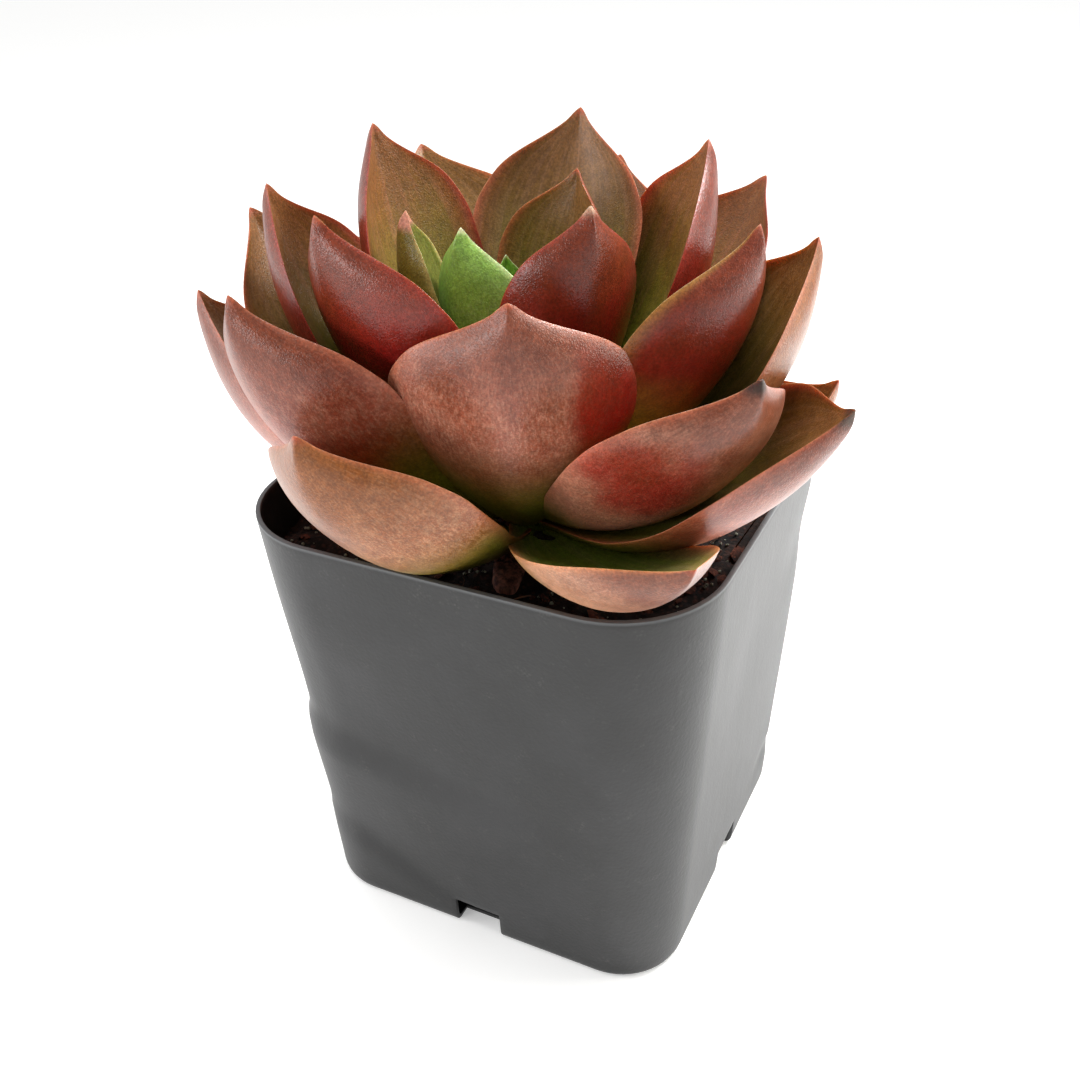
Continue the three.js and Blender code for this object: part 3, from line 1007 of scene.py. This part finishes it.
def makeLeaves():
    blank, places = makeLeafBlank()
    leaves = []
    numbered = [(kind, k + 1, row) for kind, rows in leafRows.items() for k, row in enumerate(rows)]
    for seed, (kind, number, row) in enumerate(numbered):
        pick(blank)
        bpy.ops.object.duplicate()
        leaf = newest("%sLeaf%02d" % (kind, number))
        bendLeaf(leaf, places, row, seed + 1)
        facesOutward(leaf)
        finer = leaf.modifiers.new("smoother", "SUBSURF")
        finer.levels = finer.render_levels = 1
        applyAll(leaf)
        smoothFaces(leaf)
        leaves.append((leaf, "%s_leaf_%02d" % (kind, number), row[-1]))
    bpy.data.objects.remove(blank)
    return leaves


# Leaf skin: reddish outer face with pale bloom and deep red patches where the bloom is thinner,
# painted shading on the top of the outer face, greener towards the base, a matte inner face and a
# thin rim. A patch is placed and sized across and along the leaf. Noise: cells per metre, detail
# and roughness.
skinNoise = {"patches": (75, 3, 0.55), "swirls": (190, 4, 0.6), "mottle": (650, 4, 0.65),
             "grain": (3600, 2, 0.6), "ragged": (140, 2, 0.5)}
skinShares = {"raggedness": 2.0, "upperSwirl": 0.3, "baseSwirl": 0.16, "baseFull": 0.45,
              "rimGreen": 0.4, "speckFrost": 0.4, "topShadingFrostCut": 0.8, "patchFrostCut": 0.86,
              "baseWear": 0.88, "tipMottle": 0.02, "tipRun": 0.035, "speckHeight": 0.25,
              "streakHeight": 0.15, "frostRough": 0.25, "insideRough": 0.1, "tipRough": 0.2}
skinRoughness, skinBump = 0.3, (0.00011, 0.6)
skinFinish = {"Subsurface Weight": 0.12, "Subsurface Radius": (1.0, 0.4, 0.2),
              "Subsurface Scale": 0.0015, "Specular IOR Level": 0.4}
paintGroup, given, made = newGroup(
    "leafPaint",
    [(label, colourKind) for label in ("Outer", "Deep", "Base", "Inner", "Inner Base", "Rim",
                                       "Bloom", "Tip", "Top Shading")]
    + [(label, numberKind) for label in ("Patch Strength", "Across", "Along", "Width", "Length",
                                         "Frost", "Tip Start", "Base Reach")],
    [("Colour", colourKind), ("Roughness", numberKind), ("Height", numberKind)])
tree = paintGroup
place = objectPlace(tree)
leafPlace = addNode(tree, "ShaderNodeAttribute", {"attribute_name": "leafPlace"})
parts = addNode(tree, "ShaderNodeSeparateXYZ", None, Vector=leafPlace.outputs["Vector"])
across, along, face = parts.outputs["X"], parts.outputs["Y"], parts.outputs["Z"]
patches, swirls, mottle, grain, ragged = (
    cloud(tree, place, *setting) for setting in skinNoise.values())


def share(value, name):
    return times(tree, value, skinShares[name])


def leafMarks(acrossCount, alongCount, detail):  # marks that follow the leaf
    spread = addNode(tree, "ShaderNodeCombineXYZ", None, X=times(tree, across, acrossCount),
                     Y=times(tree, along, alongCount), Z=face)
    return cloud(tree, spread.outputs[0], 1.0, detail, 0.6)


inside = step(tree, face, -0.03, 0.08)
fromRim = calc(tree, "ABSOLUTE", face)
nearRim, rimBand = step(tree, fromRim, 0.5, 0.12), step(tree, fromRim, 0.72, 0.3)

# Outer face: the deep red patch with its ragged edge, the painted shading on the top and the green
# base.
offAcross = calc(tree, "DIVIDE", minus(tree, across, given["Across"]), given["Width"])
offAlong = calc(tree, "DIVIDE", minus(tree, along, given["Along"]), given["Length"])
distance = plus(tree, times(tree, offAcross, offAcross), times(tree, offAlong, offAlong))
distance = plus(tree, distance, share(minus(tree, ragged, 0.5), "raggedness"))
deepPatch = times(tree, step(tree, distance, 1.45, 0.3), given["Patch Strength"])
outer = blendColour(tree, step(tree, patches, 0.4, 0.7, (0.0, 0.25)), given["Outer"], given["Deep"])
outer = blendColour(tree, deepPatch, outer, given["Deep"])
# Painted shading: the top of the outer face takes the top tone, which is darker than the outer tone
# on most leaves.
topShading = step(tree, plus(tree, along, share(swirls, "upperSwirl")), 0.74, 1.04, (0.0, 0.9))
outer = blendColour(tree, topShading, outer, given["Top Shading"])
toBase = plus(tree, along, share(minus(tree, swirls, 0.5), "baseSwirl"))
baseShare = step(tree, toBase, given["Base Reach"], share(given["Base Reach"], "baseFull"))
outer = blendColour(tree, baseShare, outer, given["Base"])

# Inner face: greener low down, flushed at the sides and tip.
streaks = leafMarks(16.0, 2.2, 3)
greener = plus(tree, step(tree, toBase, 0.85, 0.3, (0.0, 0.75)), share(rimBand, "rimGreen"))
inner = blendColour(tree, calc(tree, "MINIMUM", greener, 1.0), given["Inner"], given["Inner Base"])
blush = calc(tree, "MAXIMUM", step(tree, calc(tree, "ABSOLUTE", across), 0.62, 0.97, (0.0, 0.62)),
             step(tree, toBase, 0.5, 0.98, (0.0, 0.3)))
inner = blendColour(tree, blush, inner, given["Outer"])
inner = blendColour(tree, step(tree, streaks, 0.4, 0.75, (0.0, 0.16)), inner, given["Bloom"])
skin = blendColour(tree, inside, outer, inner)

# Frost: pale bloom in swirls, specks and dashes, thinned under the painted shading on the top, in
# the deep red patch and at the base.
specks = useGroup(tree, speckGroup, {"Place": place, "Scale": 4800.0, "Cover": 0.9})
dashes = leafMarks(46.0, 42.0, 2)
frost = plus(tree, step(tree, swirls, 0.62, 0.36, (0.14, 0.34)),
             share(specks["Mask"], "speckFrost"))
frost = plus(tree, frost, step(tree, dashes, 0.42, 0.68, (-0.06, 0.34)))
for worn, name in ((topShading, "topShadingFrostCut"), (deepPatch, "patchFrostCut"), (baseShare, "baseWear")):
    frost = times(tree, frost, minus(tree, 1.0, share(worn, name)))
frost = times(tree, frost, given["Frost"])
frost = calc(tree, "MULTIPLY", frost, step(tree, inside, 0.0, 1.0, (1.0, 0.22)), limit=True)
skin = blendColour(tree, frost, skin, given["Bloom"])

# Rim, dry tip and fine shade.
rimShare = times(tree, nearRim, step(tree, inside, 0.0, 1.0, (0.4, 0.8)))
skin = blendColour(tree, rimShare, skin, given["Rim"])
tipShare = step(tree, plus(tree, along, share(mottle, "tipMottle")), given["Tip Start"],
                plus(tree, given["Tip Start"], skinShares["tipRun"]))
skin = blendColour(tree, tipShare, skin, given["Tip"])
shade = times(tree, step(tree, mottle, 0.3, 0.7, (0.84, 1.1)),
              step(tree, grain, 0.3, 0.7, (0.76, 1.2)))
skin = addNode(tree, "ShaderNodeVectorMath", {"operation": "SCALE"}, Vector=skin, Scale=shade)
tree.links.new(skin.outputs[0], made["Colour"])
rough = plus(tree, skinRoughness, share(frost, "frostRough"))
rough = plus(tree, rough, share(inside, "insideRough"))
rough = plus(tree, rough, share(tipShare, "tipRough"))
tree.links.new(rough, made["Roughness"])
relief = plus(tree, share(specks["Height"], "speckHeight"), mottle)
tree.links.new(plus(tree, relief, share(streaks, "streakHeight")), made["Height"])

roseSkin = {"Outer": (134, 54, 32), "Deep": (150, 12, 12), "Base": (104, 106, 18),
            "Inner": (114, 88, 36), "Inner Base": (104, 116, 24),
            "Rim": (188, 108, 78), "Bloom": (208, 156, 130), "Tip": (150, 76, 50),
            "Top Shading": (104, 44, 20), "Patch Strength": 0.8, "Across": 0.3,
            "Along": 0.42, "Width": 0.5, "Length": 0.2,
            "Frost": 0.52, "Tip Start": 0.975, "Base Reach": 0.62}
crimsonSkin = {"Outer": (142, 40, 30), "Deep": (126, 12, 10), "Patch Strength": 0.95,
               "Across": 0.0, "Along": 0.5, "Width": 1.3, "Length": 0.42,
               "Frost": 0.3, "Rim": (142, 48, 40), "Bloom": (190, 120, 106)}
# Each look names only what differs from the rose one.
leafLooks = {
    "rose": {},
    "amber": {"Outer": (138, 70, 26), "Top Shading": (122, 66, 20), "Deep": (118, 62, 22),
              "Bloom": (212, 168, 128), "Base": (100, 98, 18), "Frost": 0.64,
              "Base Reach": 0.64, "Across": -0.3, "Along": 0.8,
              "Length": 0.25},
    # Salmon: the inner tones are the leaf's own green, painted lighter as painted light on a face
    # that lies in shade under other leaves.
    "salmon": {"Outer": (172, 118, 84), "Deep": (160, 82, 50), "Patch Strength": 0.5,
               "Bloom": (216, 178, 154), "Inner": (96, 108, 28),
               "Inner Base": (112, 130, 34), "Rim": (210, 138, 84), "Base Reach": 0.6},
    "broad": {"Outer": (152, 76, 54), "Frost": 0.8, "Across": 0.85,
              "Along": 0.6, "Width": 0.42, "Length": 0.24,
              "Patch Strength": 1.0, "Base Reach": 0.6},
    "crimson": crimsonSkin,
    # Flushed: the base is the leaf's own olive-yellow, painted lighter as painted light on a strip
    # that lies in shade between leaves.
    "flushed": {**crimsonSkin, "Along": 0.62, "Length": 0.34, "Frost": 0.5,
                "Base": (164, 142, 54), "Base Reach": 0.66, "Rim": (172, 140, 66)},
    # Brown tip: the outer tone is the leaf's own bloomed pink-brown, painted lighter as painted
    # light on its lower side, which lies in shade.
    "brownTip": {"Outer": (172, 112, 88), "Frost": 0.85, "Base Reach": 0.36,
                 "Across": -0.7, "Along": 0.64, "Width": 0.55,
                 "Length": 0.17, "Tip": (50, 34, 26), "Tip Start": 0.955,
                 "Patch Strength": 0.9},
    "palePoint": {**crimsonSkin, "Along": 0.55, "Length": 0.5,
                  "Tip": (186, 150, 124), "Tip Start": 0.972},
    "dryTip": {"Tip": (70, 48, 34), "Tip Start": 0.95, "Along": 0.2},
    "olive": {"Outer": (92, 96, 26), "Deep": (120, 72, 40), "Base": (108, 130, 44),
              "Inner": (100, 100, 40), "Inner Base": (120, 142, 50),
              "Rim": (196, 180, 116), "Patch Strength": 0.2, "Frost": 0.25,
              "Tip": (190, 130, 108), "Tip Start": 0.93, "Top Shading": (112, 96, 34),
              "Bloom": (176, 176, 110)},
    "green": {"Outer": (118, 158, 54), "Deep": (92, 142, 14),
              "Base": (160, 190, 104), "Inner": (104, 148, 34),
              "Inner Base": (136, 176, 70), "Rim": (208, 222, 178),
              "Bloom": (200, 220, 164), "Frost": 0.5, "Tip": (206, 210, 168),
              "Across": 0.5, "Along": 0.5, "Top Shading": (128, 168, 66)},
}


def makeLeafMaterial(name, look):
    material, tree, shader = newMaterial(name + "LeafSkin", skinFinish)
    paint = useGroup(tree, paintGroup, {**roseSkin, **look})
    tree.links.new(paint["Colour"], shader.inputs["Base Color"])
    tree.links.new(paint["Roughness"], shader.inputs["Roughness"])
    bumpInto(tree, shader, paint["Height"], *skinBump)
    return material


leafSkins = {name: makeLeafMaterial(name, look) for name, look in leafLooks.items()}
leaves = makeLeaves()
for leaf, node, look in leaves:
    leaf.data.materials.clear()
    leaf.data.materials.append(leafSkins[look])
    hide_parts(node)
    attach(leaf, "root")
print("leaves made:", len(leaves))
